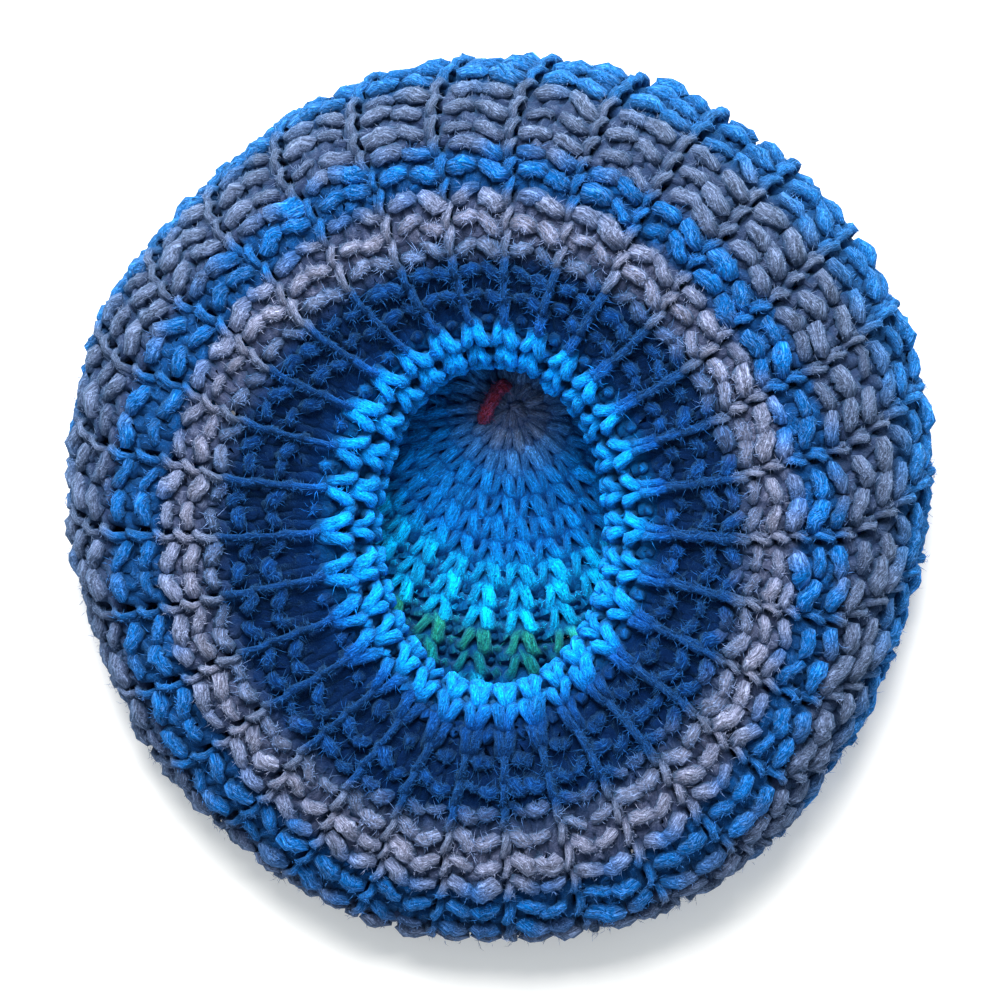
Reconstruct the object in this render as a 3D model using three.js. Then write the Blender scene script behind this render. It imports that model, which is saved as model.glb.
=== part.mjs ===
// Knit beret, lying on its crown with the head opening upward.
// Millimetres, +Z up. The beret is fuller towards +Y and flatter towards -Y.
// The origin is on the surface that the crown lies on, below the middle of the outline.

import * as THREE from 'three';

// Driving dimensions
const OUTER_RADIUS = 134;
const LYING_HEIGHT = 52;
const WALL = 7;
const RIB_COUNT = 30;
const RIB_RISE = 1.6;
const PANEL_DROP = 0.5;
const LANDING = 3;
const PIECE_GAP = 0.4;
const ROUND_PITCH = 7;
const BAND_ROUNDS = 6.6;
const FOLD_ROUND = 17.4;
const OUTLINE_MIDDLE = new THREE.Vector2(0.14, -0.46);

// Facets round the beret, and the step over which a slope is measured
const STEPS_PER_RIB = 4;
const STEPS_ROUND = RIB_COUNT * STEPS_PER_RIB;
const SLOPE_STEP = 0.01;

const TAU = 2 * Math.PI;
const MID_RADIUS = OUTER_RADIUS - WALL / 2;

// Names the columns of a table, so that each row reads as one section
function table(columns, rows) {
  return rows.map((row) => Object.fromEntries(columns.map((name, place) => [name, row[place]])));
}

// Rings of the middle of the wall, one for each shape-giving round of the knitting.
// Round 0 is the bound edge of the band and the last round is the gathered centre of the crown.
// Centres and halves are percent of the middle radius, heights and rises percent of the lying height.
// A ring rises towards +X and +Y, and its saddle lifts it at front and back and lowers it at the sides.
// The rib columns say how much of the full rib relief each face carries. The outside of the crown is
// pressed flat where it lies, and its inside keeps the ribs as grooves that run to the centre.
const RINGS = table(
  [
    'round', 'centreX', 'centreY', 'halfX', 'halfY',
    'height', 'riseX', 'riseY', 'saddle', 'ribOutside', 'ribInside',
  ],
  [
    [0, -1.5, -6.5, 27.8, 39, 45, 2, 3, 0, 60, 60],
    [1.5, -1.5, -6.5, 29, 40, 63, 2, 4, 0, 80, 80],
    [3, -2.5, -7.5, 35.5, 46.5, 75, 2, 6, -1, 100, 100],
    [6.6, -5, -9, 59, 65.5, 84, 4, 13, -3, 100, 100],
    [9.6, -5.5, -8.5, 73.5, 83, 79, 7, 18.5, -4, 100, 100],
    [11.8, -6.5, -8, 86, 92.5, 66, 13, 26, -4, 100, 100],
    [14, -4.5, -2, 94.5, 96.5, 49, 17, 28, -5, 100, 100],
    [16.6, 1.5, 6.5, 97.5, 95, 27, 9, 20, -2, 90, 100],
    [18.9, 4.5, 10, 92, 87.5, 9, 3, 7, 0, 40, 90],
    [21, 6, 11.5, 81.5, 76, 0, 0, 0, 0, 0, 80],
    [37, 0, 23, 0, 0, 0, 0, 0, 0, 0, 0],
  ],
);
const LAST_ROUND = RINGS[RINGS.length - 1].round;

// Soft swells and dents of the outline: where each one peaks, how far it reaches as a percent
// of the ring's own half, and how far it spreads in degrees and in rounds
const SWELLS = table(
  ['angle', 'round', 'reach', 'angleSpread', 'roundSpread'],
  [
    [135, 15.5, -1.6, 14, 3.7],
    [156, 14.8, 1.8, 10, 3.7],
    [198, 14, -1.6, 14, 3.7],
    [230, 13.3, -2.2, 18, 3.7],
    [306, 15.2, 7, 24, 6],
  ],
);

// The pieces in the order of knitting. Crowding above 1 puts more sections near the first round.
const PIECES = table(
  ['name', 'firstRound', 'lastRound', 'strips', 'crowding', 'colour', 'roughness'],
  [
    ['band', 0, BAND_ROUNDS, 5, 1, 0x0b5fae, 0.95],
    ['underside', BAND_ROUNDS, FOLD_ROUND, 8, 1, 0x5f6a90, 0.95],
    ['crown', FOLD_ROUND, LAST_ROUND, 8, 1.4, 0x2f78bf, 0.95],
  ],
);

// Slope of one ring column at a table row, from its neighbours on both sides
function columnSlope(column, row) {
  const before = RINGS[Math.max(row - 1, 0)];
  const after = RINGS[Math.min(row + 1, RINGS.length - 1)];
  return (after[column] - before[column]) / (after.round - before.round);
}

// Smooth cubic value of one ring column at any round
function columnAt(column, round) {
  const found = RINGS.findIndex((ring) => ring.round > round);
  const upper = found < 1 ? (found === 0 ? 1 : RINGS.length - 1) : found;
  const start = RINGS[upper - 1];
  const end = RINGS[upper];
  const span = end.round - start.round;
  const share = (round - start.round) / span;
  const square = share * share;
  const cube = square * share;
  return (
    start[column] * (2 * cube - 3 * square + 1) +
    end[column] * (3 * square - 2 * cube) +
    columnSlope(column, upper - 1) * span * (cube - 2 * square + share) +
    columnSlope(column, upper) * span * (cube - square)
  );
}

// How far the outline swells at one place, as a factor on the ring's halves
function swellAt(round, angle) {
  const reaches = SWELLS.map((swell) => {
    const turn = angle - THREE.MathUtils.degToRad(swell.angle);
    const away = THREE.MathUtils.radToDeg(Math.atan2(Math.sin(turn), Math.cos(turn)));
    const fall = (away / swell.angleSpread) ** 2 + ((round - swell.round) / swell.roundSpread) ** 2;
    return (swell.reach / 100) * Math.exp(-fall);
  });
  return reaches.reduce((sum, reach) => sum + reach, 1);
}

// Height of the middle of the wall, which comes down softly on the resting surface and lies flat there
function landedHeight(height) {
  const clear = height - WALL / 2;
  if (Math.abs(clear) >= LANDING) {
    return WALL / 2 + Math.max(clear, 0);
  }
  return WALL / 2 + (clear + LANDING) ** 2 / (4 * LANDING);
}

// Point on the middle of the wall
function middlePoint(round, angle) {
  const swell = swellAt(round, angle);
  const across = columnAt('centreX', round) + columnAt('halfX', round) * swell * Math.cos(angle);
  const along = columnAt('centreY', round) + columnAt('halfY', round) * swell * Math.sin(angle);
  const height =
    columnAt('height', round) +
    columnAt('riseX', round) * Math.cos(angle) +
    columnAt('riseY', round) * Math.sin(angle) -
    columnAt('saddle', round) * Math.cos(2 * angle);
  return new THREE.Vector3(
    (across * MID_RADIUS) / 100 - OUTLINE_MIDDLE.x,
    (along * MID_RADIUS) / 100 - OUTLINE_MIDDLE.y,
    landedHeight((height * LYING_HEIGHT) / 100),
  );
}

// Direction away from the hollow, square to the middle of the wall
function outwardAt(round, angle) {
  const along = middlePoint(round + SLOPE_STEP, angle).sub(middlePoint(round - SLOPE_STEP, angle));
  const across = middlePoint(round, angle + SLOPE_STEP).sub(middlePoint(round, angle - SLOPE_STEP));
  return along.cross(across).normalize();
}

// One ring of points on the outer face (side 1) or the inner face (side -1) of the ribbed wall
function wallRing(round, side) {
  const ribShare = Math.max(columnAt(side > 0 ? 'ribOutside' : 'ribInside', round), 0) / 100;
  return Array.from({ length: STEPS_ROUND }, (_, step) => {
    const angle = (step / STEPS_ROUND) * TAU;
    const relief = step % STEPS_PER_RIB === 0 ? RIB_RISE : -PANEL_DROP;
    const reach = (side * WALL) / 2 + relief * ribShare;
    const point = middlePoint(round, angle).addScaledVector(outwardAt(round, angle), reach);
    point.z = Math.max(point.z, 0);
    return point;
  });
}

// Collects points and triangles of one closed body
class ClosedBody {
  positions = [];

  triangle(a, b, c) {
    [a, b, c].forEach((point) => this.positions.push(point.x, point.y, point.z));
  }

  // Skin between two rings, its outside to the right of the way from the first ring to the second
  strip(firstRing, secondRing) {
    firstRing.forEach((first, step) => {
      const next = (step + 1) % firstRing.length;
      this.triangle(first, secondRing[step], secondRing[next]);
      this.triangle(first, secondRing[next], firstRing[next]);
    });
  }

  // Fan that closes a ring at one point
  fan(ring, tip) {
    ring.forEach((point, step) => this.triangle(point, tip, ring[(step + 1) % ring.length]));
  }

  geometry() {
    const geometry = new THREE.BufferGeometry();
    geometry.setAttribute('position', new THREE.Float32BufferAttribute(this.positions, 3));
    geometry.computeVertexNormals();
    return geometry;
  }
}

// Rounds at which a piece has a section, with half a gap left free towards each neighbour
function sectionRounds(piece) {
  const halfGap = PIECE_GAP / ROUND_PITCH / 2;
  const first = piece.firstRound + (piece.firstRound > 0 ? halfGap : 0);
  const last = piece.lastRound - (piece.lastRound < LAST_ROUND ? halfGap : 0);
  return Array.from({ length: piece.strips + 1 }, (_, place) => {
    return first + (last - first) * (place / piece.strips) ** piece.crowding;
  });
}

// Ribbed wall of one piece. The piece that reaches the last round closes at the gathered centre.
function wallGeometry(piece) {
  const rounds = sectionRounds(piece);
  const closesAtCentre = piece.lastRound === LAST_ROUND;
  const ringRounds = closesAtCentre ? rounds.slice(0, -1) : rounds;
  const outer = ringRounds.map((round) => wallRing(round, 1));
  const inner = ringRounds.map((round) => wallRing(round, -1));
  const body = new ClosedBody();
  for (let strip = 1; strip < ringRounds.length; strip += 1) {
    body.strip(outer[strip - 1], outer[strip]);
    body.strip(inner[strip], inner[strip - 1]);
  }
  body.strip(inner[0], outer[0]);
  const lastOuter = outer[outer.length - 1];
  const lastInner = inner[inner.length - 1];
  if (closesAtCentre) {
    const centre = middlePoint(LAST_ROUND, 0);
    body.fan(lastOuter, new THREE.Vector3(centre.x, centre.y, centre.z - WALL / 2));
    body.fan(lastInner.slice().reverse(), new THREE.Vector3(centre.x, centre.y, centre.z + WALL / 2));
  } else {
    body.strip(lastOuter, lastInner);
  }
  return body.geometry();
}

const beret = new THREE.Group();
beret.name = 'beret';
PIECES.forEach((piece) => {
  const material = new THREE.MeshStandardMaterial({
    color: piece.colour,
    roughness: piece.roughness,
    metalness: 0,
  });
  const mesh = new THREE.Mesh(wallGeometry(piece), material);
  mesh.name = piece.name;
  beret.add(mesh);
});

export default beret;
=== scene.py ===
import math
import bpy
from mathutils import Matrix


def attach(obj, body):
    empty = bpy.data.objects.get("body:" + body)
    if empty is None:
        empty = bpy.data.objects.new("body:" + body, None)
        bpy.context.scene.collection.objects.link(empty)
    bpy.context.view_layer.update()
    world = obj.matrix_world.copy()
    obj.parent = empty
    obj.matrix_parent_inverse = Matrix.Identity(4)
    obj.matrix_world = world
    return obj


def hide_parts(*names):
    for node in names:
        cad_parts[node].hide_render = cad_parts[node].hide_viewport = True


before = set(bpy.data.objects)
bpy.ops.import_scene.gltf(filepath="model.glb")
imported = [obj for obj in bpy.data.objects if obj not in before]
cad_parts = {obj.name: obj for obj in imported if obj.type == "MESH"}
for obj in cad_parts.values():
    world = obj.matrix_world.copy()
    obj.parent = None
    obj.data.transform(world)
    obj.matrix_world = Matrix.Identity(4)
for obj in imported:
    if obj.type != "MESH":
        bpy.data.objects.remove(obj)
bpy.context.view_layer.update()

from types import SimpleNamespace

import bpy
import numpy as np
from mathutils import Vector

TAU = 2 * math.pi
PERCENT = 100
TINY = 1e-12

# Form of the lying beret, in metres, and the step in rounds or radians over which a slope is measured
OUTER_RADIUS = 0.134
LYING_HEIGHT = 0.052
WALL = 0.007
MID_RADIUS = OUTER_RADIUS - WALL / 2
LANDING = 0.003
OUTLINE_MIDDLE = np.array([0.00014, -0.00046])
SLOPE_STEP = 0.01

# Rings of the middle of the wall. Round 0 is the bound edge and the last round is the gathered centre.
# Centres and halves are percent of the middle radius, heights and rises percent of the lying height.
RING_COLUMNS = "round centre_x centre_y half_x half_y height rise_x rise_y saddle".split()
RINGS = np.array([
    [0, -1.5, -6.5, 27.8, 39, 45, 2, 3, 0],
    [1.5, -1.5, -6.5, 29, 40, 63, 2, 4, 0],
    [3, -2.5, -7.5, 35.5, 46.5, 75, 2, 6, -1],
    [6.6, -5, -9, 59, 65.5, 84, 4, 13, -3],
    [9.6, -5.5, -8.5, 73.5, 83, 79, 7, 18.5, -4],
    [11.8, -6.5, -8, 86, 92.5, 66, 13, 26, -4],
    [14, -4.5, -2, 94.5, 96.5, 49, 17, 28, -5],
    [16.6, 1.5, 6.5, 97.5, 95, 27, 9, 20, -2],
    [18.9, 4.5, 10, 92, 87.5, 9, 3, 7, 0],
    [21, 6, 11.5, 81.5, 76, 0, 0, 0, 0],
    [37, 3, 21.5, 0, 0, 0, 0, 0, 0],
])
LAST_ROUND = RINGS[-1, 0]

# Soft swells and dents of the outline: degrees, round, percent, and spread in degrees and in rounds
SWELLS = np.array([
    [135, 15.5, -1.6, 14, 3.7],
    [156, 14.8, 1.8, 10, 3.7],
    [198, 14, -1.6, 14, 3.7],
    [230, 13.3, -2.2, 18, 3.7],
    [306, 15.2, 7, 24, 6],
])

# The knitting: its columns, where a round starts in degrees, over how many rounds the step up to the next
# round fades, the share of a round in which that step closes, and the rounds that the path leaves free at
# the bound edge and at the gathered centre
SECTORS = 30
SEAM_DEGREES = 252
JOG_FADE = 3.0
JOG_CLOSE = 0.06
EDGE_ROOM = 0.05
CENTRE_ROOM = 0.15

# The yarn: its radius and how far a loop goes in and out, in metres, the share of a stitch in which knit
# turns into purl, the points of the path in a stitch and how far they crowd at its bends, the sides of the
# yarn, the round at which it ends, and the radius in metres below which stitches lean no further
YARN_RADIUS = 0.0025
LOOP_DEPTH = 0.0021
SIDE_BLEND = 0.22
SAMPLES = 14
BEND_CROWD = 0.5
YARN_SIDES = 7
YARN_END = 36.4
LEAST_REACH = 0.02

# From each round on: sectors in a repeat, stitches in it, and its first stitch, knit (1) or purl (-1)
GAUGE = np.array([
    [0, 1, 2, 1],
    [3.0, 1, 3, 1],
    [21.6, 1, 2, 1],
    [29, 1, 1, -1],
    [32, 1.5, 1, -1],
    [33.4, 2, 1, -1],
    [34.6, 3, 1, -1],
    [35.6, 5, 1, -1],
    [YARN_END, 0, 0, 0],
])

# How the loops change along the rounds: share of a sector that the knit stitch takes, thickness of the
# yarn in knit and purl stitches, rise of the ribs and drop of the panels between them in metres, heights
# of the loops in rounds, their curl, how far the foot of a purl loop sinks below its head in metres, how
# flat and how wide the head is, how far a knit loop leans in metres, and how much thicker the yarn is
# where it runs behind
LOOP_COLUMNS = (
    "round knit_share knit_thick purl_thick rib_rise panel_drop knit_height purl_height"
    " loop_curl foot_drop head_flat head_wide knit_lean back_thick"
).split()
LOOPS = np.array([
    [0, 0.82, 0.70, 0.50, 0.0000, 0.0020, 0.95, 1.4, -0.01, 0.0, 0.2, 0.0, 0.0000, 0.6],
    [2.8, 0.76, 0.74, 0.60, 0.0004, 0.0014, 1.0, 1.5, -0.01, 0.0006, 0.2, 0.0, 0.0000, 0.7],
    [3.6, 0.10, 0.34, 0.74, 0.0011, 0.0008, 1.4, 1.7, 0.12, 0.0006, 0.8, 0.4, 0.0000, 0.8],
    [5.8, 0.10, 0.38, 0.88, 0.0013, 0.0010, 1.3, 1.6, 0.15, -0.0004, 1.0, 0.6, 0.0006, 0.4],
    [7.5, 0.12, 0.42, 0.98, 0.0002, 0.0006, 1.0, 1.5, 0.16, -0.0010, 1.0, 0.7, 0.0014, 0.2],
    [13, 0.12, 0.46, 1.02, 0.0002, 0.0006, 1.0, 1.5, 0.18, -0.0012, 1.0, 0.8, 0.0014, 0.25],
    [15, 0.15, 0.54, 1.00, 0.0004, 0.0010, 1.1, 1.5, 0.20, -0.0008, 1.0, 1.0, 0.0010, 0.3],
    [20, 0.20, 0.62, 0.94, 0.0004, 0.0008, 1.4, 1.6, 0.14, 0.0000, 0.7, 0.6, 0.0006, 0.4],
    [23.5, 0.26, 0.44, 0.64, 0.0006, 0.0004, 1.5, 1.2, 0.03, 0.0, 0.0, 0.0, 0.0, 1.7],
    [28, 0.28, 0.42, 0.60, 0.0006, 0.0004, 1.6, 1.2, 0.035, 0.0, 0.0, 0.0, 0.0, 2.4],
    [30, 0.30, 0.42, 0.56, 0.0006, 0.0004, 1.6, 1.15, 0.025, 0.0, 0.0, 0.0, 0.0, 2.8],
    [33.4, 0.30, 0.50, 0.54, 0.0000, 0.0006, 1.6, 1.3, 0.03, 0.0, 0.0, 0.0, 0.0, 2.5],
    [35.4, 0.30, 0.56, 0.60, 0.0000, 0.0006, 1.7, 1.6, 0.08, 0.0, 0.0, 0.0, 0.0, 0.6],
    [37, 0.30, 0.60, 0.60, 0.0000, 0.0006, 1.9, 1.9, 0.12, 0.0, 0.0, 0.0, 0.0, 0.0],
])

# How far the first leg of a rib's knit stitch stands out, and the second one sinks, in metres
KNIT_TWIST = 0.0010

# A flat head is a bar. Heights in a loop run from -1 at its foot to 1 at its head. The loop is sunk in up
# to the first of these heights and stands out from the second on. Along the rounds it climbs between the
# next two heights.
BAR_SINKS = (0.2, 0.95)
BAR_CLIMBS = (-1.0, 0.35)

# The outer face of the wall is the seen one up to the first of these rounds, and the inner one after
# the last of them
TURN_ROUNDS = (20, 23)

# How far yarn that runs behind moves away from the seen face, as a part of what it gains in radius
BACK_SHIFT = 0.6

# How much less a point of the crown counts as standing out than it is away from the wall, in metres. A point
# that stands out less gets more painted shade between the loops.
CROWN_SUNK = 0.0012

# Stitches inside the crown: how much one leg thins and the other thickens, and how much they keep of what
# varies by chance, apart from the slope of the head
LEG_UNEVEN = 0.22
CROWN_CALM = 0.45

# Knit stitch, first purl stitch and second purl stitch: slope of the loop's head, its rise in rounds,
# and its shift along the round in sectors, which leaves a gutter beside each rib
KIND_SLOPES = np.array([0.0, 0.8, -0.3])
KIND_RISES = np.array([0.0, -0.06, 0.14])
KIND_SHIFTS = np.array([0.02, -0.01, -0.07])

# How the stitches vary by chance: their lean, height, lift in metres, thickness, and slope of the head
STITCH_SEED = 11
LEAN_SPREAD = 0.08
TALL_SPREAD = 0.09
LIFT_SPREAD = 0.0004
PLUMP_SPREAD = 0.15
TILT_SPREAD = 0.3

# Thick and thin along the yarn, in waves of these lengths in metres, and the roughness of its surface
YARN_WAVES = (0.011, 0.017, 0.031, 0.053)
WAVE_SEED = 5
WAVE_SWELL = 0.15
ROUGH_SEED = 23
ROUGH_SPREAD = 0.13

# The yarn pieces in the order of knitting: name, node that each stands for, slot, first and last round
YARN_PIECES = [
    ("band_yarn", "band", "band_knit", 0, 6.6),
    ("underside_yarn_inner", "underside", "underside_knit", 6.6, 12),
    ("underside_yarn_outer", "underside", "underside_knit", 12, 17.4),
    ("crown_yarn_rim", "crown", "crown_knit", 17.4, 23.4),
    ("crown_yarn_middle", "crown", "crown_knit", 23.4, YARN_END),
]

# Loose fibres: name, slot, first and last round, outer face (1) or inner face (-1), count, usual length
# in metres, seed
FUZZ_PIECES = [
    ("band_fuzz", "band_knit", 2.6, 6.6, 1, 18000, 0.0020, 31),
    ("underside_fuzz_inner", "underside_knit", 6.6, 12, 1, 28000, 0.0014, 32),
    ("underside_fuzz_outer", "underside_knit", 12, 17.4, 1, 26000, 0.0014, 36),
    ("crown_fuzz_rim", "crown_knit", 17.4, 22, 1, 6000, 0.0014, 33),
    ("crown_fuzz_inside", "crown_knit", 22, YARN_END, -1, 4000, 0.0014, 34),
]
END_FUZZ = [("crown_fuzz_end", "crown_knit", 0, 1, 1, 400, 0.0014, 35)]

# One fibre: spread of its root along the yarn and its radius in metres, reach of its root across and above
# the yarn in yarn radii, least and most lift of its way, shortest and longest as parts of the usual length,
# bend of its tip, and the rounds at which it gleams more, with the gleam, which is a painted highlight
FUZZ_SPREAD = 0.0008
FUZZ_RADIUS = 0.00008
FUZZ_SIDEWAYS = 0.8
FUZZ_ROOT = 0.6
FUZZ_LIFTS = (-0.1, 0.3)
FUZZ_LENGTHS = (0.7, 1.9)
FUZZ_BEND = 0.5
FUZZ_GLEAM = ((3, 4, 6, 7), (1, 1.9, 1.9, 1))

# Faces of a fibre between its root, 0, the corners of its knee, 1 to 3, and its tip, 4
KNEE_CORNERS = 3
FIBRE_FACES = np.array([[1, 2, 4], [2, 3, 4], [3, 1, 4], [2, 1, 0], [3, 2, 0], [1, 3, 0]])

# Short end of yarn that lies over the gathered centre, in metres, with the passes of its running mean,
# the fullness and power of its rounded ends, and how far it is thick and thin
END_ROUTE = np.array([
    [0.0026, 0.0340, 0.0050],
    [0.0010, 0.0358, 0.0085],
    [-0.0010, 0.0337, 0.0100],
    [-0.0026, 0.0306, 0.0104],
    [-0.0040, 0.0278, 0.0098],
    [-0.0049, 0.0257, 0.0080],
    [-0.0050, 0.0242, 0.0045],
])
END_RADIUS = 0.0023
END_STEPS = 40
END_PASSES = 6
END_FULLNESS = 1.02
END_POWER = 6
END_SWELL = 0.1

# Colours of the striping yarn by round, as the eye sees them from 0 to 255
STRIPES = [
    (0.0, (0, 148, 240)),
    (2.6, (0, 142, 234)),
    (3.4, (0, 70, 148)),
    (4.3, (0, 40, 94)),
    (6.4, (2, 42, 96)),
    (6.9, (80, 94, 124)),
    (8.0, (114, 116, 138)),
    (9.1, (96, 106, 136)),
    (9.5, (0, 84, 154)),
    (11.1, (2, 84, 152)),
    (11.6, (78, 90, 118)),
    (14.0, (80, 92, 118)),
    (14.8, (26, 92, 154)),
    (17.4, (14, 100, 172)),
    (19.0, (0, 118, 190)),
    (23.6, (0, 134, 208)),
    (24.6, (6, 114, 108)),
    (26.2, (36, 148, 108)),
    (26.9, (0, 190, 252)),
    (29.6, (0, 180, 250)),
    (30.6, (0, 124, 210)),
    (33.6, (10, 118, 202)),
    (34.8, (60, 118, 182)),
    (35.6, (90, 108, 140)),
    (38.0, (88, 84, 98)),
    (38.6, (128, 34, 48)),
]
STRIPE_END = 40

# Where the stripes sway round the hat: round, spread in rounds, waves in a turn, reach in rounds, degrees
STRIPE_SWAYS = [
    (9.5, 4.0, 1, 0.35, 64),
    (9.5, 4.0, 2, 0.2, 0),
    (3.0, 2.0, 2, 0.35, 0),
    (25.5, 2.5, 2, -0.8, 30),
    (3.0, 2.0, 1, -0.5, 90),
]

# How the edges of the stripes wander: repeats per metre along the yarn, and rounds
STRIPE_DRIFT = 18
STRIPE_WANDER = 0.5

# Fibre pattern: repeats per metre along the yarn and repeats about it, twist in radians per metre, stretch
# of the speckle, the scale, detail and distortion of each noise, and the roughness and mean of them all
FIBRE_ALONG = 300
FIBRE_AROUND = 2.6
FIBRE_TWIST = 120
SPECKLE_STRETCH = (5.0, 1, 1)
STREAK_NOISE = (1.0, 3.0, 0.8)
SPECKLE_NOISE = (1.6, 2.0, 0.6)
HAIR_NOISE = (2.2, 1.0, 1.2)
HEATHER_NOISE = (0.16, 2.0, 0.3)
NOISE_ROUGHNESS = 0.6
NOISE_MEAN = 0.5

# Each range carries a number from its first two values to its last two: streak and heather to brightness,
# hair to a share of hair, standing out to a share of the full colour, the rest being painted shade, and
# streak to roughness
STREAK_RANGE = (0.38, 0.62, 0.35, 1.5)
HEATHER_RANGE = (0.3, 0.7, 0.65, 1.3)
HAIR_RANGE = (0.50, 0.68, 0.0, 1.0)
PROUD_RANGE = (0.05, 0.7, 0.1, 1.0)
ROUGHNESS_RANGE = (0.3, 0.7, 1.0, 0.8)

# Shares of the hair: what a loose fibre counts as, how far it brightens the wool as a painted highlight, and
# how far it pales the wool.
# Then how far the stripe's own colour is dimmed between the loops, as painted shade.
LOOSE_HAIR = 0.8
HAIR_GLEAM = 1.5
HAIR_PALE = 0.25
SHADE_DIM = 0.36

# Surface of the wool, and its relief in metres
WOOL_SURFACE = {
    "Sheen Weight": 0.2,
    "Sheen Tint": (0.15, 0.5, 1.0, 1),
    "Sheen Roughness": 0.5,
    "Specular IOR Level": 0.06,
}
RELIEF_STRENGTH = 1.0
RELIEF_DISTANCE = 0.0012

# Wool of each slot: name, colour of the painted shade between the loops, how far that follows the stripes,
# colour of the hair
WOOL_LOOKS = {
    "band_knit": ("band_wool", (0, 22, 66), 0.5, (60, 132, 204)),
    "underside_knit": ("underside_wool", (16, 44, 92), 0.5, (130, 156, 190)),
    "crown_knit": ("crown_wool", (0, 46, 112), 0.05, (20, 152, 236)),
}

# Studio: floor, light from all round, one square light, and the camera, in metres and watts. The picture
# is as wide as the frame at its level, and the sensor is in millimetres.
FLOOR_SIZE = 6
FLOOR_DROP = 0.0002
FLOOR_SURFACE = {
    "Base Color": (0.88, 0.86, 0.83, 1),
    "Roughness": 0.9,
    "Emission Color": (1, 1, 1, 1),
    "Emission Strength": 0.18,
}
SKY_COLOUR = (0.86, 0.94, 1.0, 1)
SKY_STRENGTH = 0.62
KEY_PLACE = (-0.1, 1.0, 1.1)
KEY_AIM = (0, 0, 0.02)
KEY_SIZE = 0.9
KEY_POWER = 52
FRAME_WIDTH = 0.305
FRAME_LEVEL = 0.025
CAMERA_HEIGHT = 1.2
SENSOR = 36


def linear(colour):
    """Colour as light: each share c up to 0.04045 is divided by 12.92, and above that raised to 2.4."""
    share = np.array(colour) / 255
    return np.where(share <= 0.04045, share / 12.92, ((share + 0.055) / 1.055) ** 2.4)


def ring_column(name, rounds):
    """Cubic through one column of the rings, with each slope taken from the rows on both sides."""
    knots = RINGS[:, 0]
    values = RINGS[:, RING_COLUMNS.index(name)]
    rows = np.arange(len(knots))
    before = np.maximum(rows - 1, 0)
    after = np.minimum(rows + 1, len(knots) - 1)
    slopes = (values[after] - values[before]) / (knots[after] - knots[before])
    upper = np.clip(np.searchsorted(knots, rounds, side="right"), 1, len(knots) - 1)
    span = knots[upper] - knots[upper - 1]
    share = (rounds - knots[upper - 1]) / span
    square = share ** 2
    cube = share ** 3
    return (
        values[upper - 1] * (2 * cube - 3 * square + 1)
        + values[upper] * (3 * square - 2 * cube)
        + slopes[upper - 1] * span * (cube - 2 * square + share)
        + slopes[upper] * span * (cube - square)
    )


def swell(rounds, angles):
    """One plus the sum of bells, each falling off with its distance in degrees and in rounds."""
    total = np.ones_like(rounds)
    for degrees, at_round, percent, angle_spread, round_spread in SWELLS:
        away = np.degrees(np.angle(np.exp(1j * (angles - np.radians(degrees)))))
        fall = (away / angle_spread) ** 2 + ((rounds - at_round) / round_spread) ** 2
        total = total + percent / PERCENT * np.exp(-fall)
    return total


def middle(rounds, angles):
    """Point on the middle of the wall: an ellipse for each round, tilted and saddled, landing softly."""
    factor = swell(rounds, angles) * MID_RADIUS / PERCENT
    across = ring_column("centre_x", rounds) * MID_RADIUS / PERCENT
    along = ring_column("centre_y", rounds) * MID_RADIUS / PERCENT
    across = across + ring_column("half_x", rounds) * factor * np.cos(angles)
    along = along + ring_column("half_y", rounds) * factor * np.sin(angles)
    height = (
        ring_column("height", rounds)
        + ring_column("rise_x", rounds) * np.cos(angles)
        + ring_column("rise_y", rounds) * np.sin(angles)
        - ring_column("saddle", rounds) * np.cos(2 * angles)
    ) * LYING_HEIGHT / PERCENT
    clear = height - WALL / 2
    soft = (np.clip(clear, -LANDING, LANDING) + LANDING) ** 2 / (4 * LANDING)
    landed = WALL / 2 + np.where(clear > LANDING, clear, soft)
    return np.stack([across - OUTLINE_MIDDLE[0], along - OUTLINE_MIDDLE[1], landed], axis=-1)


def unit(vectors):
    """Each vector divided by its own length."""
    return vectors / np.maximum(np.linalg.norm(vectors, axis=-1, keepdims=True), TINY)


def outward(rounds, angles):
    """Cross product of the slopes along the rounds and round the ring, away from the hollow."""
    along = middle(rounds + SLOPE_STEP, angles) - middle(rounds - SLOPE_STEP, angles)
    across = middle(rounds, angles + SLOPE_STEP) - middle(rounds, angles - SLOPE_STEP)
    return unit(np.cross(along, across))


def waves(seed, places, lengths):
    """Sum of sines of the given wave lengths along a path, each with a seeded phase, divided by how many
    they are."""
    phases = np.random.default_rng(seed).uniform(0, TAU, len(lengths))
    total = np.zeros_like(places)
    for length, phase in zip(lengths, phases):
        total = total + np.sin(TAU * places / length + phase)
    return total / len(lengths)


def loops(name, rounds):
    """Straight lines through one column of the loops."""
    return np.interp(rounds, LOOPS[:, 0], LOOPS[:, LOOP_COLUMNS.index(name)])


def smooth_step(values, low, high):
    """Three squares minus two cubes of the share of the way from low to high, held at 0 and 1."""
    share = np.clip((values - low) / (high - low), 0, 1)
    return share ** 2 * (3 - 2 * share)


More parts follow.
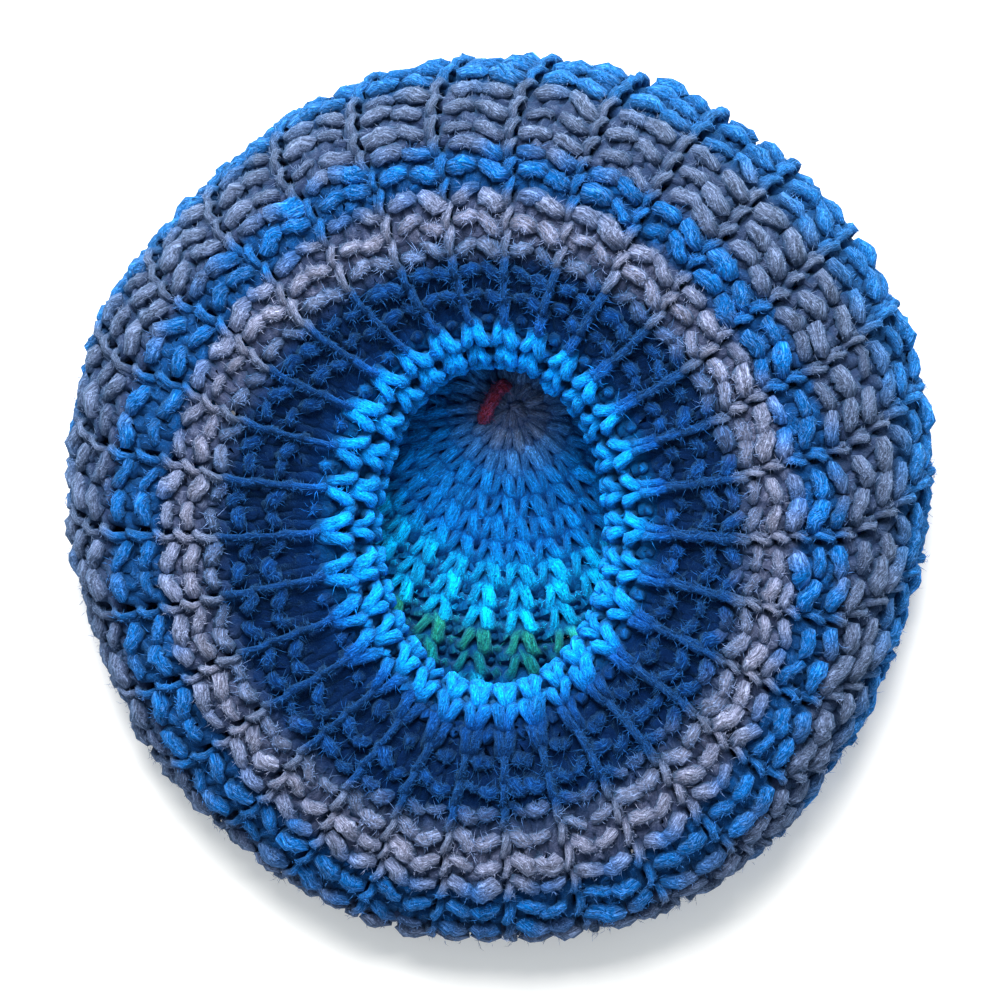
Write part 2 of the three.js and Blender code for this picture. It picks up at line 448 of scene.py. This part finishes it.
def stitches():
    """Start and width of every stitch in order of knitting, in sectors counted along the yarn, and its
    kind. A repeat has a knit stitch, kind 0, in the middle of its rib and then its purl stitches. Where
    a repeat is a single stitch, that is a purl stitch and starts where the repeat does."""
    starts, widths, kinds = [], [], []
    for (first, sectors, count, side), (last, _, _, _) in zip(GAUGE[:-1], GAUGE[1:]):
        place = np.arange(round(first * SECTORS), round(last * SECTORS), sectors).astype(float)
        share = loops("knit_share", place / SECTORS) if count > 1 else np.ones(len(place))
        starts.append(place - share / 2 if count > 1 else place)
        widths.append(share * sectors)
        kinds.append(np.full(len(place), 0 if side > 0 else 1))
        for purl in range(int(count) - 1):
            width = (1 - share) / (count - 1)
            starts.append(place + share / 2 + purl * width)
            widths.append(width)
            kinds.append(np.full(len(place), purl + 1))
    starts, widths, kinds = (np.concatenate(part) for part in (starts, widths, kinds))
    order = np.argsort(starts)
    return starts[order], widths[order], kinds[order]


def frames(points, away):
    """Heading of a path at each point, and the two directions square to it, beside and above."""
    heading = unit(np.gradient(points, axis=0))
    beside = unit(np.cross(heading, away))
    return heading, beside, np.cross(beside, heading)


def path_length(points):
    """Length of a path up to each of its points: the sum of the steps before it."""
    return np.concatenate([[0], np.cumsum(np.linalg.norm(np.diff(points, axis=0), axis=1))])


def stitch_chance(starts, kinds):
    """Lean, height, lift, thickness and slope of the head of each stitch, drawn from bells of a fixed seed.
    The slope is added to that of the stitch's kind."""
    chance = np.random.default_rng(STITCH_SEED)
    each = (len(starts), 1)
    calm = np.interp(starts / SECTORS, TURN_ROUNDS, (1, CROWN_CALM))
    lean = chance.normal(0, LEAN_SPREAD, each) * calm
    tall = 1 + chance.normal(0, TALL_SPREAD, each) * calm
    lift = chance.normal(0, LIFT_SPREAD, each) * calm
    plump = chance.normal(0, PLUMP_SPREAD, each) * calm
    tilt = KIND_SLOPES[kinds] + chance.normal(0, TILT_SPREAD, each)
    return lean, tall, lift, plump, tilt


def swayed(stripe, plain, angles):
    """Stripe minus every sway: its reach times cos(waves * angle + degrees) times a bell that falls off
    with the distance in rounds."""
    for at_round, spread, turns, reach, degrees in STRIPE_SWAYS:
        near = np.exp(-(((plain - at_round) / spread) ** 2))
        stripe = stripe - near * reach * np.cos(turns * angles + math.radians(degrees))
    return stripe


def knit_yarn():
    """Middle line of the yarn through every loop. With t running from 0 to 1 in a stitch, the yarn goes
    across by t + curl * sin(2 turns of t), along the rounds by its climb, -cos(1 turn of t), and in and out
    by -cos(2 turns of t), turned about for purl. A flat purl head is a bar, which takes smooth steps of the
    climb instead. A rib's knit stitch leans by its climb and twists by sin(1 turn of t). A purl loop's foot
    sinks below its head. Yarn that runs behind is thicker and moves away from the seen face. Each round
    starts where the one before it ends, and samples crowd at the bends of a loop."""
    starts, widths, kinds = (part[:, None] for part in stitches())
    lean, tall, lift, plump, tilt = stitch_chance(starts, kinds)

    # Each sample's place in its stitch, and how far it is knit, which eases over into the neighbours
    even = np.arange(SAMPLES) / SAMPLES
    share = (even - BEND_CROWD * np.sin(2 * TAU * even) / (2 * TAU))[None, :]
    bow = np.sin(math.pi * share) ** 2
    climb = -np.cos(TAU * share)
    wave = np.cos(2 * TAU * share)
    twist = np.sin(TAU * share)
    ease_in = np.clip(1 - share / SIDE_BLEND, 0, 1) ** 2
    ease_out = np.clip(1 - (1 - share) / SIDE_BLEND, 0, 1) ** 2
    sides = np.where(kinds == 0, 1.0, -1.0)
    before = (np.roll(sides, 1, 0) - sides) / 2
    after = (np.roll(sides, -1, 0) - sides) / 2
    side = sides + before * ease_in + after * ease_out
    knit = (side + 1) / 2
    plain = (starts + widths * share) / SECTORS
    flat = loops("head_flat", plain)
    barred = flat * (1 - knit)

    # Angle round the hat
    swing = share + loops("loop_curl", plain) * np.sin(2 * TAU * share) + lean * bow
    reach = (ring_column("half_x", plain) + ring_column("half_y", plain)) / (2 * PERCENT) * MID_RADIUS
    sector_width = np.maximum(reach, LEAST_REACH) * TAU / SECTORS
    across = starts + widths * swing - loops("knit_lean", plain) * knit * climb / sector_width
    across = across + KIND_SHIFTS[kinds] * flat * bow
    angles = across / SECTORS * TAU + math.radians(SEAM_DEGREES)

    # Round, with the step up to the next one
    turn = np.mod(plain, 1)
    jog = turn * np.clip((1 - turn) / JOG_CLOSE, 0, 1) * np.exp(-np.maximum(plain, 0) / JOG_FADE)
    height = loops("knit_height", plain) * knit + loops("purl_height", plain) * (1 - knit)
    rise = climb + barred * (2 * smooth_step(climb, *BAR_CLIMBS) - 1 - climb)
    slant = (tilt * (swing - 0.5) + KIND_RISES[kinds]) * bow ** 2 * (1 - knit) * flat
    rounds = plain - jog + 0.5 + height / 2 * tall * rise + slant

    # In and out of the wall
    wide = loops("head_wide", plain)
    rounded = (wave + wide) / (1 + wide)
    purl_wave = rounded + flat * (2 * smooth_step(climb, *BAR_SINKS) - 1 - rounded)
    depth = LOOP_DEPTH * ((1 - knit) * purl_wave - knit * wave) + lift * bow
    depth = depth + KNIT_TWIST * knit * flat * twist
    depth = depth + np.where(side > 0, loops("rib_rise", plain), loops("panel_drop", plain)) * side
    depth = depth - loops("foot_drop", plain) * (1 - knit) * (1 - climb) / 2

    # Thickness, and the shift of what runs behind
    seen_face = np.interp(plain, TURN_ROUNDS, (1, -1))
    above_wall = (1 - 2 * knit) * wave * seen_face
    behind = barred * (1 - climb) / 2 + (1 - barred) * (1 - above_wall) / 2
    uneven = LEG_UNEVEN * (1 - seen_face) / 2 * twist
    thick = loops("knit_thick", plain) * knit + loops("purl_thick", plain) * (1 - knit)
    swollen = thick * loops("back_thick", plain) * behind
    depth = depth - seen_face * BACK_SHIFT * YARN_RADIUS * swollen
    thick = (thick + swollen) * (1 + plump * bow - uneven)

    # Path on the wall
    rounds, angles, depth, thick, plain = (part.ravel() for part in (rounds, angles, depth, thick, plain))
    kept = np.clip(rounds, EDGE_ROOM, LAST_ROUND - CENTRE_ROOM)
    away = outward(kept, angles)
    points = middle(kept, angles) + away * depth[:, None]
    length = path_length(points)
    radii = YARN_RADIUS * thick * (1 + WAVE_SWELL * waves(WAVE_SEED, length, YARN_WAVES))
    heading, beside, above = frames(points, away)
    return SimpleNamespace(
        points=points, away=away, depth=depth, radii=radii, plain=plain, length=length,
        stripe=swayed(rounds, plain, angles), heading=heading, beside=beside, above=above,
    )


def tube(points, beside, above, radii, sides):
    """Ring of points at each place of a path: the radius times the cosine of the turn to the side and
    the sine of the turn above. Rings are joined by four-cornered faces and the two ends are capped."""
    turns = np.arange(sides) / sides * TAU
    wide = np.cos(turns)[None, :, None] * beside[:, None, :]
    high = np.sin(turns)[None, :, None] * above[:, None, :]
    places = points[:, None, :] + radii[:, :, None] * (wide + high)
    ring = np.arange(len(points) - 1)[:, None] * sides
    column = np.arange(sides)[None, :]
    following = (column + 1) % sides
    corners = [ring + column, ring + sides + column, ring + sides + following, ring + following]
    walls = np.stack(corners, axis=-1).reshape(-1, 4)
    first_cap = np.arange(sides)[None, :]
    last_cap = (len(points) * sides - 1 - np.arange(sides))[None, :]
    return places.reshape(-1, 3), [walls, first_cap, last_cap]


def make_mesh(name, places, faces):
    """Mesh object from an array of points and arrays of faces, each array with its own count of
    corners."""
    mesh = bpy.data.meshes.new(name)
    corners = np.concatenate([part.ravel() for part in faces]).astype(np.int32)
    sizes = np.concatenate([np.full(len(part), part.shape[1]) for part in faces]).astype(np.int32)
    mesh.vertices.add(len(places))
    mesh.vertices.foreach_set("co", places.astype(np.float32).ravel())
    mesh.loops.add(len(corners))
    mesh.loops.foreach_set("vertex_index", corners)
    mesh.polygons.add(len(sizes))
    mesh.polygons.foreach_set("loop_start", np.concatenate([[0], np.cumsum(sizes)[:-1]]).astype(np.int32))
    mesh.polygons.foreach_set("loop_total", sizes)
    mesh.polygons.foreach_set("use_smooth", np.ones(len(sizes), dtype=bool))
    mesh.update(calc_edges=True)
    mesh.validate()
    piece = bpy.data.objects.new(name, mesh)
    bpy.context.scene.collection.objects.link(piece)
    return piece


def dress(piece, wool, numbers):
    """Gives a piece its wool, its body and one named number of each kind for each point."""
    for name, values in numbers.items():
        layer = piece.data.attributes.new(name, "FLOAT", "POINT")
        layer.data.foreach_set("value", values.astype(np.float32))
    piece.data.materials.append(wool)
    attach(piece, "root")


def around_numbers(count, sides):
    """Cosine and sine of the turn about the yarn for each point of its rings."""
    around = np.tile(np.arange(sides) / sides * TAU, count)
    return np.cos(around), np.sin(around)


def make_yarn(yarn, wools):
    """Sweeps the yarn along its path, thick and thin by turns and a little rough, in pieces by round. The
    first piece also takes the half stitch before round 0, and no point is below the resting surface. A
    point stands out by its distance outward from the wall, or in the crown by that on either side, less
    what it is sunk. The less it stands out, the darker the painted shade between the loops."""
    rough = 1 + np.random.default_rng(ROUGH_SEED).normal(0, ROUGH_SPREAD, (len(yarn.points), YARN_SIDES))
    for name, node_name, slot, first, last in YARN_PIECES:
        begun = (yarn.plain >= first) | (first == 0)
        inside = np.flatnonzero(begun & (yarn.plain <= last))
        span = slice(inside[0], min(inside[-1] + 2, len(yarn.points)))
        radii = yarn.radii[span, None] * rough[span]
        places, faces = tube(yarn.points[span], yarn.beside[span], yarn.above[span], radii, YARN_SIDES)
        places[:, 2] = np.maximum(places[:, 2], 0)
        wall_points = yarn.points[span] - yarn.away[span] * yarn.depth[span, None]
        offset = places - np.repeat(wall_points, YARN_SIDES, axis=0)
        stands = np.sum(offset * np.repeat(yarn.away[span], YARN_SIDES, axis=0), axis=1)
        turned = np.repeat(yarn.plain[span] > TURN_ROUNDS[0], YARN_SIDES)
        stands = np.where(turned, np.abs(stands) - CROWN_SUNK, stands)
        around_cos, around_sin = around_numbers(len(wall_points), YARN_SIDES)
        piece = make_mesh(name, places, faces)
        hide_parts(node_name)
        dress(piece, wools[slot], {
            "round_along": np.repeat(yarn.stripe[span], YARN_SIDES),
            "yarn_length": np.repeat(yarn.length[span], YARN_SIDES),
            "around_cos": around_cos,
            "around_sin": around_sin,
            # Mask of the painted shade between the loops: the less a point stands out, the darker its wool
            # is painted
            "stands_out": stands / (LOOP_DEPTH + YARN_RADIUS),
        })


def make_fuzz(yarn, wools, pieces):
    """Loose fibres on the seen face of a yarn, in the given pieces, pointed at both ends: a root in the
    yarn, a ring of corners at the knee, which is root + way * half the reach, and a tip at root + (way +
    bend) * reach. The reach is the usual length times an exponential draw, held between two ends."""
    corner_turns = np.arange(KNEE_CORNERS) / KNEE_CORNERS * TAU
    for name, slot, first, last, face, count, usual, seed in pieces:
        chance = np.random.default_rng(seed)
        within = (yarn.plain >= first) & (yarn.plain <= last)
        picks = chance.choice(np.flatnonzero(within & (yarn.depth * face > 0)), count)
        away = yarn.away[picks] * face
        sideways = yarn.beside[picks] * chance.uniform(-FUZZ_SIDEWAYS, FUZZ_SIDEWAYS, (count, 1))
        root = yarn.points[picks] + (FUZZ_ROOT * away + sideways) * yarn.radii[picks, None]
        root = root + yarn.heading[picks] * chance.normal(0, FUZZ_SPREAD, (count, 1))
        way = unit(
            yarn.heading[picks] * chance.normal(0, 1, (count, 1))
            + yarn.beside[picks] * chance.normal(0, 1, (count, 1))
            + away * chance.uniform(*FUZZ_LIFTS, (count, 1))
        )
        reach = usual * np.clip(chance.exponential(1, (count, 1)), *FUZZ_LENGTHS)
        bend = unit(chance.normal(0, 1, (count, 3))) * FUZZ_BEND
        knee = root + way * reach / 2
        tip = root + (way + bend) * reach
        first_side = unit(np.cross(way, chance.normal(0, 1, (count, 3))))
        second_side = np.cross(way, first_side)
        ring = (
            np.cos(corner_turns)[None, :, None] * first_side[:, None, :]
            + np.sin(corner_turns)[None, :, None] * second_side[:, None, :]
        ) * FUZZ_RADIUS
        places = np.concatenate([root[:, None], knee[:, None] + ring, tip[:, None]], axis=1)
        places[:, :, 2] = np.maximum(places[:, :, 2], FUZZ_RADIUS)
        each = places.shape[1]
        faces = np.arange(count)[:, None, None] * each + FIBRE_FACES[None]
        piece = make_mesh(name, places.reshape(-1, 3), [faces.reshape(-1, 3)])
        dress(piece, wools[slot], {
            "round_along": np.repeat(yarn.stripe[picks], each),
            "yarn_length": np.repeat(yarn.length[picks], each),
            "around_cos": np.ones(count * each),
            "around_sin": np.zeros(count * each),
            "stands_out": np.ones(count * each),
            "loose_fibre": np.repeat(np.interp(yarn.plain[picks], *FUZZ_GLEAM), each),
        })


def make_yarn_end(wools):
    """Short end of yarn: a tube along straight lines through the route, smoothed by a running mean of each
    point and its neighbours. Its radius is the square root of fullness - s to a power, where s runs from
    -1 to 1 along it. Gives back its path, for the fibres on it."""
    knots = np.linspace(0, 1, len(END_ROUTE))
    places = np.linspace(0, 1, END_STEPS)
    path = np.stack([np.interp(places, knots, END_ROUTE[:, axis]) for axis in range(3)], axis=1)
    for _ in range(END_PASSES):
        path[1:-1] = (path[:-2] + 2 * path[1:-1] + path[2:]) / 4
    away = np.tile([0.0, 0.0, 1.0], (END_STEPS, 1))
    heading, beside, above = frames(path, away)
    along = np.linspace(-1, 1, END_STEPS)
    length = path_length(path)
    radii = END_RADIUS * np.sqrt(END_FULLNESS - along ** END_POWER)
    radii = radii * (1 + END_SWELL * waves(WAVE_SEED, length, YARN_WAVES))
    rough = np.random.default_rng(ROUGH_SEED).normal(1, ROUGH_SPREAD, (END_STEPS, YARN_SIDES))
    points, faces = tube(path, beside, above, radii[:, None] * rough, YARN_SIDES)
    around_cos, around_sin = around_numbers(END_STEPS, YARN_SIDES)
    piece = make_mesh("crown_yarn_end", points, faces)
    dress(piece, wools["crown_knit"], {
        "round_along": np.full(len(points), STRIPE_END),
        "yarn_length": np.repeat(length, YARN_SIDES),
        "around_cos": around_cos,
        "around_sin": around_sin,
        "stands_out": np.ones(len(points)),
    })
    return SimpleNamespace(
        points=path, away=away, depth=radii, radii=radii, plain=places, length=length,
        stripe=np.full(END_STEPS, STRIPE_END), heading=heading, beside=beside,
    )


def node(tree, kind, **settings):
    """New node of one kind, with its settings."""
    made = tree.nodes.new(kind)
    for name, value in settings.items():
        setattr(made, name, value)
    return made


def feed(tree, target, source):
    """Gives a socket a number or a colour, or links another socket to it."""
    if isinstance(source, bpy.types.NodeSocket):
        tree.links.new(source, target)
    else:
        target.default_value = source


def set_inputs(made, values):
    """Sets the named inputs of a node."""
    for label, value in values.items():
        made.inputs[label].default_value = value


def arithmetic(tree, operation, *numbers):
    """Result of one sum on numbers or sockets."""
    made = node(tree, "ShaderNodeMath", operation=operation)
    for socket, number in zip(made.inputs, numbers):
        feed(tree, socket, number)
    return made.outputs["Value"]


def scaled(tree, colour, factor):
    """Colour times a number."""
    made = node(tree, "ShaderNodeVectorMath", operation="SCALE")
    feed(tree, made.inputs[0], colour)
    feed(tree, made.inputs["Scale"], factor)
    return made.outputs["Vector"]


def mixed(tree, share, first, second):
    """Two colours mixed by a share."""
    made = node(tree, "ShaderNodeMix", data_type="RGBA")
    feed(tree, made.inputs["Factor"], share)
    feed(tree, made.inputs["A"], first)
    feed(tree, made.inputs["B"], second)
    return made.outputs["Result"]


def between(tree, value, low, high, to_low, to_high):
    """Number carried from one range to another, and held at its ends."""
    made = node(tree, "ShaderNodeMapRange")
    feed(tree, made.inputs["Value"], value)
    set_inputs(made, {"From Min": low, "From Max": high, "To Min": to_low, "To Max": to_high})
    return made.outputs["Result"]


def cloud(tree, vector, scale, detail, distortion):
    """Noise on a vector, from 0 to 1."""
    made = node(tree, "ShaderNodeTexNoise")
    feed(tree, made.inputs["Vector"], vector)
    set_inputs(made, {
        "Scale": scale,
        "Detail": detail,
        "Roughness": NOISE_ROUGHNESS,
        "Distortion": distortion,
    })
    return made.outputs["Fac"]


def new_group(name, inputs, outputs):
    """Shader node group with named sockets, given as pairs of name and kind of socket."""
    tree = bpy.data.node_groups.new(name, "ShaderNodeTree")
    for label, kind in inputs:
        tree.interface.new_socket(label, in_out="INPUT", socket_type=kind)
    for label, kind in outputs:
        tree.interface.new_socket(label, in_out="OUTPUT", socket_type=kind)
    return tree, node(tree, "NodeGroupInput").outputs, node(tree, "NodeGroupOutput").inputs


def stripe_group():
    """Group that turns a round into the colour of the striping yarn, with edges that wander."""
    tree, given, wanted = new_group(
        "yarn_stripes",
        [("Round", "NodeSocketFloat"), ("Length", "NodeSocketFloat"), ("Wander", "NodeSocketFloat")],
        [("Colour", "NodeSocketColor")],
    )
    drift = node(tree, "ShaderNodeTexNoise", noise_dimensions="1D")
    feed(tree, drift.inputs["W"], given["Length"])
    feed(tree, drift.inputs["Scale"], STRIPE_DRIFT)
    shift = arithmetic(tree, "SUBTRACT", drift.outputs["Fac"], NOISE_MEAN)
    shift = arithmetic(tree, "MULTIPLY", shift, given["Wander"])
    moved = arithmetic(tree, "ADD", given["Round"], shift)
    ramp = node(tree, "ShaderNodeValToRGB")
    stops = ramp.color_ramp.elements
    stops.remove(stops[-1])
    stops[0].position = STRIPES[0][0] / STRIPE_END
    stops[0].color = (*linear(STRIPES[0][1]), 1)
    for at_round, colour in STRIPES[1:]:
        stops.new(at_round / STRIPE_END).color = (*linear(colour), 1)
    feed(tree, ramp.inputs["Fac"], arithmetic(tree, "DIVIDE", moved, STRIPE_END))
    feed(tree, wanted["Colour"], ramp.outputs["Color"])
    return tree


def fibre_group():
    """Group that lays twisted fibres along the yarn. Streak is the mean of a noise that is wound about the
    yarn and a finer speckle, Hair is finer and sparser, and Heather is slow."""
    tree, given, wanted = new_group(
        "wool_fibres",
        [
            ("Length", "NodeSocketFloat"),
            ("Around Cos", "NodeSocketFloat"),
            ("Around Sin", "NodeSocketFloat"),
            ("Twist", "NodeSocketFloat"),
        ],
        [(label, "NodeSocketFloat") for label in ("Streak", "Hair", "Heather")],
    )
    around = node(tree, "ShaderNodeCombineXYZ")
    feed(tree, around.inputs["X"], arithmetic(tree, "MULTIPLY", given["Length"], FIBRE_ALONG))
    feed(tree, around.inputs["Y"], arithmetic(tree, "MULTIPLY", given["Around Cos"], FIBRE_AROUND))
    feed(tree, around.inputs["Z"], arithmetic(tree, "MULTIPLY", given["Around Sin"], FIBRE_AROUND))
    wound = node(tree, "ShaderNodeVectorRotate", rotation_type="X_AXIS")
    feed(tree, wound.inputs["Vector"], around.outputs["Vector"])
    feed(tree, wound.inputs["Angle"], arithmetic(tree, "MULTIPLY", given["Length"], given["Twist"]))
    vector = wound.outputs["Vector"]
    streak = cloud(tree, vector, *STREAK_NOISE)
    stretched = node(tree, "ShaderNodeVectorMath", operation="MULTIPLY")
    feed(tree, stretched.inputs[0], vector)
    feed(tree, stretched.inputs[1], SPECKLE_STRETCH)
    speckle = cloud(tree, stretched.outputs["Vector"], *SPECKLE_NOISE)
    both = arithmetic(tree, "ADD", streak, speckle)
    feed(tree, wanted["Streak"], arithmetic(tree, "MULTIPLY", both, 0.5))
    feed(tree, wanted["Hair"], cloud(tree, vector, *HAIR_NOISE))
    feed(tree, wanted["Heather"], cloud(tree, vector, *HEATHER_NOISE))
    return tree


def wool_material(stripes, fibres, name, shade_colour, follow, pale):
    """Matte wool: stripes by round, streaked and heathered along the yarn, with bright hair on it,
    brightened as a painted highlight. Between the loops it has painted shade: a dark colour of its own,
    mixed with the dimmed stripes by how far it follows them, and taken where a point stands out less."""
    material = bpy.data.materials.new(name)
    material.use_nodes = True
    tree = material.node_tree
    shader = tree.nodes["Principled BSDF"]
    set_inputs(shader, WOOL_SURFACE)
    numbers = {}
    for label in ("round_along", "yarn_length", "around_cos", "around_sin", "stands_out", "loose_fibre"):
        numbers[label] = node(tree, "ShaderNodeAttribute", attribute_name=label).outputs["Fac"]
    striped = node(tree, "ShaderNodeGroup", node_tree=stripes)
    feed(tree, striped.inputs["Round"], numbers["round_along"])
    feed(tree, striped.inputs["Length"], numbers["yarn_length"])
    feed(tree, striped.inputs["Wander"], STRIPE_WANDER)
    colour = striped.outputs["Colour"]
    fibre = node(tree, "ShaderNodeGroup", node_tree=fibres)
    feed(tree, fibre.inputs["Length"], numbers["yarn_length"])
    feed(tree, fibre.inputs["Around Cos"], numbers["around_cos"])
    feed(tree, fibre.inputs["Around Sin"], numbers["around_sin"])
    feed(tree, fibre.inputs["Twist"], FIBRE_TWIST)
    streaked = between(tree, fibre.outputs["Streak"], *STREAK_RANGE)
    heathered = between(tree, fibre.outputs["Heather"], *HEATHER_RANGE)
    loose = arithmetic(tree, "MULTIPLY", numbers["loose_fibre"], LOOSE_HAIR)
    hairy = arithmetic(tree, "MAXIMUM", between(tree, fibre.outputs["Hair"], *HAIR_RANGE), loose)
    # Painted highlight: the wool is brightened where there is hair or a loose fibre
    gleam = arithmetic(tree, "MULTIPLY_ADD", hairy, HAIR_GLEAM, 1)
    shade = arithmetic(tree, "MULTIPLY", arithmetic(tree, "MULTIPLY", streaked, heathered), gleam)
    paled = arithmetic(tree, "MULTIPLY", hairy, HAIR_PALE)
    haired = mixed(tree, paled, scaled(tree, colour, shade), (*linear(pale), 1))
    # Painted shade between the loops: dimmed stripes mixed with a dark colour, taken where the point stands
    # out less
    painted_shade = mixed(tree, follow, (*linear(shade_colour), 1), scaled(tree, colour, SHADE_DIM))
    unshaded = between(tree, numbers["stands_out"], *PROUD_RANGE)
    feed(tree, shader.inputs["Base Color"], mixed(tree, unshaded, painted_shade, haired))
    feed(tree, shader.inputs["Roughness"], between(tree, fibre.outputs["Streak"], *ROUGHNESS_RANGE))
    bump = node(tree, "ShaderNodeBump")
    set_inputs(bump, {"Strength": RELIEF_STRENGTH, "Distance": RELIEF_DISTANCE})
    feed(tree, bump.inputs["Height"], fibre.outputs["Streak"])
    feed(tree, shader.inputs["Normal"], bump.outputs["Normal"])
    return material


# Wool, yarn and loose fibres
stripes = stripe_group()
fibres = fibre_group()
wools = {slot: wool_material(stripes, fibres, *look) for slot, look in WOOL_LOOKS.items()}
yarn = knit_yarn()
make_yarn(yarn, wools)
make_fuzz(yarn, wools, FUZZ_PIECES)
make_fuzz(make_yarn_end(wools), wools, END_FUZZ)

# Floor
bpy.ops.mesh.primitive_plane_add(size=FLOOR_SIZE, location=(0, 0, -FLOOR_DROP))
floor = bpy.context.object
floor.name = "floor"
paint = bpy.data.materials.new("floor_paint")
paint.use_nodes = True
set_inputs(paint.node_tree.nodes["Principled BSDF"], FLOOR_SURFACE)
floor.data.materials.append(paint)

# Light from all round, and one square light that faces the middle of the beret
scene = bpy.context.scene
scene.view_settings.view_transform = "Standard"
world = bpy.data.worlds.new("studio")
scene.world = world
world.use_nodes = True
set_inputs(world.node_tree.nodes["Background"], {"Color": SKY_COLOUR, "Strength": SKY_STRENGTH})
key_data = bpy.data.lights.new("key", "AREA")
key_data.size = KEY_SIZE
key_data.energy = KEY_POWER
key = bpy.data.objects.new("key", key_data)
scene.collection.objects.link(key)
key.location = KEY_PLACE
key.rotation_euler = (Vector(KEY_AIM) - Vector(KEY_PLACE)).to_track_quat("-Z", "Y").to_euler()

# Camera straight above, with the top of the picture towards +Y
camera_data = bpy.data.cameras.new("camera")
camera_data.sensor_width = SENSOR
camera_data.lens = SENSOR * (CAMERA_HEIGHT - FRAME_LEVEL) / FRAME_WIDTH
camera = bpy.data.objects.new("camera", camera_data)
scene.collection.objects.link(camera)
camera.location = (0, 0, CAMERA_HEIGHT)
scene.camera = camera
